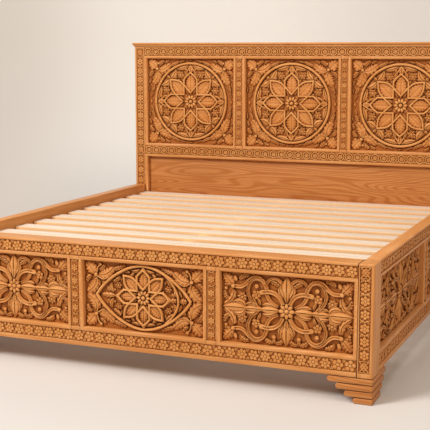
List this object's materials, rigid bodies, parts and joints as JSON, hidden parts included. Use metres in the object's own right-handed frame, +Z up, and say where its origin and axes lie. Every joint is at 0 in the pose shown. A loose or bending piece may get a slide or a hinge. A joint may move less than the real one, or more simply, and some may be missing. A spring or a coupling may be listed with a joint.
{
  "type": "carved bed frame",
  "caption": "Frame-and-panel bed frame in carved wood: tall headboard with round star medallions, low footboard and sides, stepped corner feet and a slatted base for a square double mattress.",
  "frame": {"origin": "on the floor below the middle of the bed's length and width", "axes": "+X to the right seen from the foot end, +Y along the bed towards the headboard, +Z up"},
  "size_m": [2.186, 2.19, 1.536],
  "materials": {
    "oak": "satin oiled oak, warm honey brown",
    "carved_oak": "hand-carved oak, satin oil, darker in the recesses",
    "pine": "planed pale pine, matt",
    "steel": "zinc-plated"
  },
  "bodies": {
    "root": {"headboard_post_left": "oak", "headboard_post_right": "oak", "headboard_cap": "oak", "headboard_top_rail": "oak", "headboard_middle_rail": "oak", "headboard_bottom_rail": "oak", "headboard_muntin_left": "oak", "headboard_muntin_right": "oak", "headboard_panel_left": "carved_oak", "headboard_panel_centre": "carved_oak", "headboard_panel_right": "carved_oak", "headboard_lower_board": "oak", "headboard_mouldings": "oak", "footboard_post_left": "oak", "footboard_post_right": "oak", "footboard_top_rail": "oak", "footboard_bottom_rail": "oak", "footboard_muntin_left": "oak", "footboard_muntin_right": "oak", "footboard_panel_left": "carved_oak", "footboard_panel_centre": "carved_oak", "footboard_panel_right": "carved_oak", "footboard_mouldings": "oak", "left_side_top_rail": "oak", "left_side_bottom_rail": "oak", "left_side_foot_stile": "oak", "left_side_head_stile": "oak", "left_side_muntin": "oak", "left_side_foot_panel": "carved_oak", "left_side_head_panel": "carved_oak", "left_side_ledge": "pine", "right_side_top_rail": "oak", "right_side_bottom_rail": "oak", "right_side_foot_stile": "oak", "right_side_head_stile": "oak", "right_side_muntin": "oak", "right_side_foot_panel": "carved_oak", "right_side_head_panel": "carved_oak", "right_side_ledge": "pine", "side_mouldings": "oak", "foot_front_left": "oak", "foot_front_right": "oak", "foot_back_left": "oak", "foot_back_right": "oak", "centre_beam": "pine", "centre_legs": "oak", "beam_brackets": "steel", "corner_fittings": "steel", "slat_screws": "steel", "slat_1": "pine", "slat_2": "pine", "slat_3": "pine", "slat_4": "pine", "slat_5": "pine", "slat_6": "pine", "slat_7": "pine", "slat_8": "pine", "slat_9": "pine", "slat_10": "pine", "slat_11": "pine"}
  },
  "joints": []
}
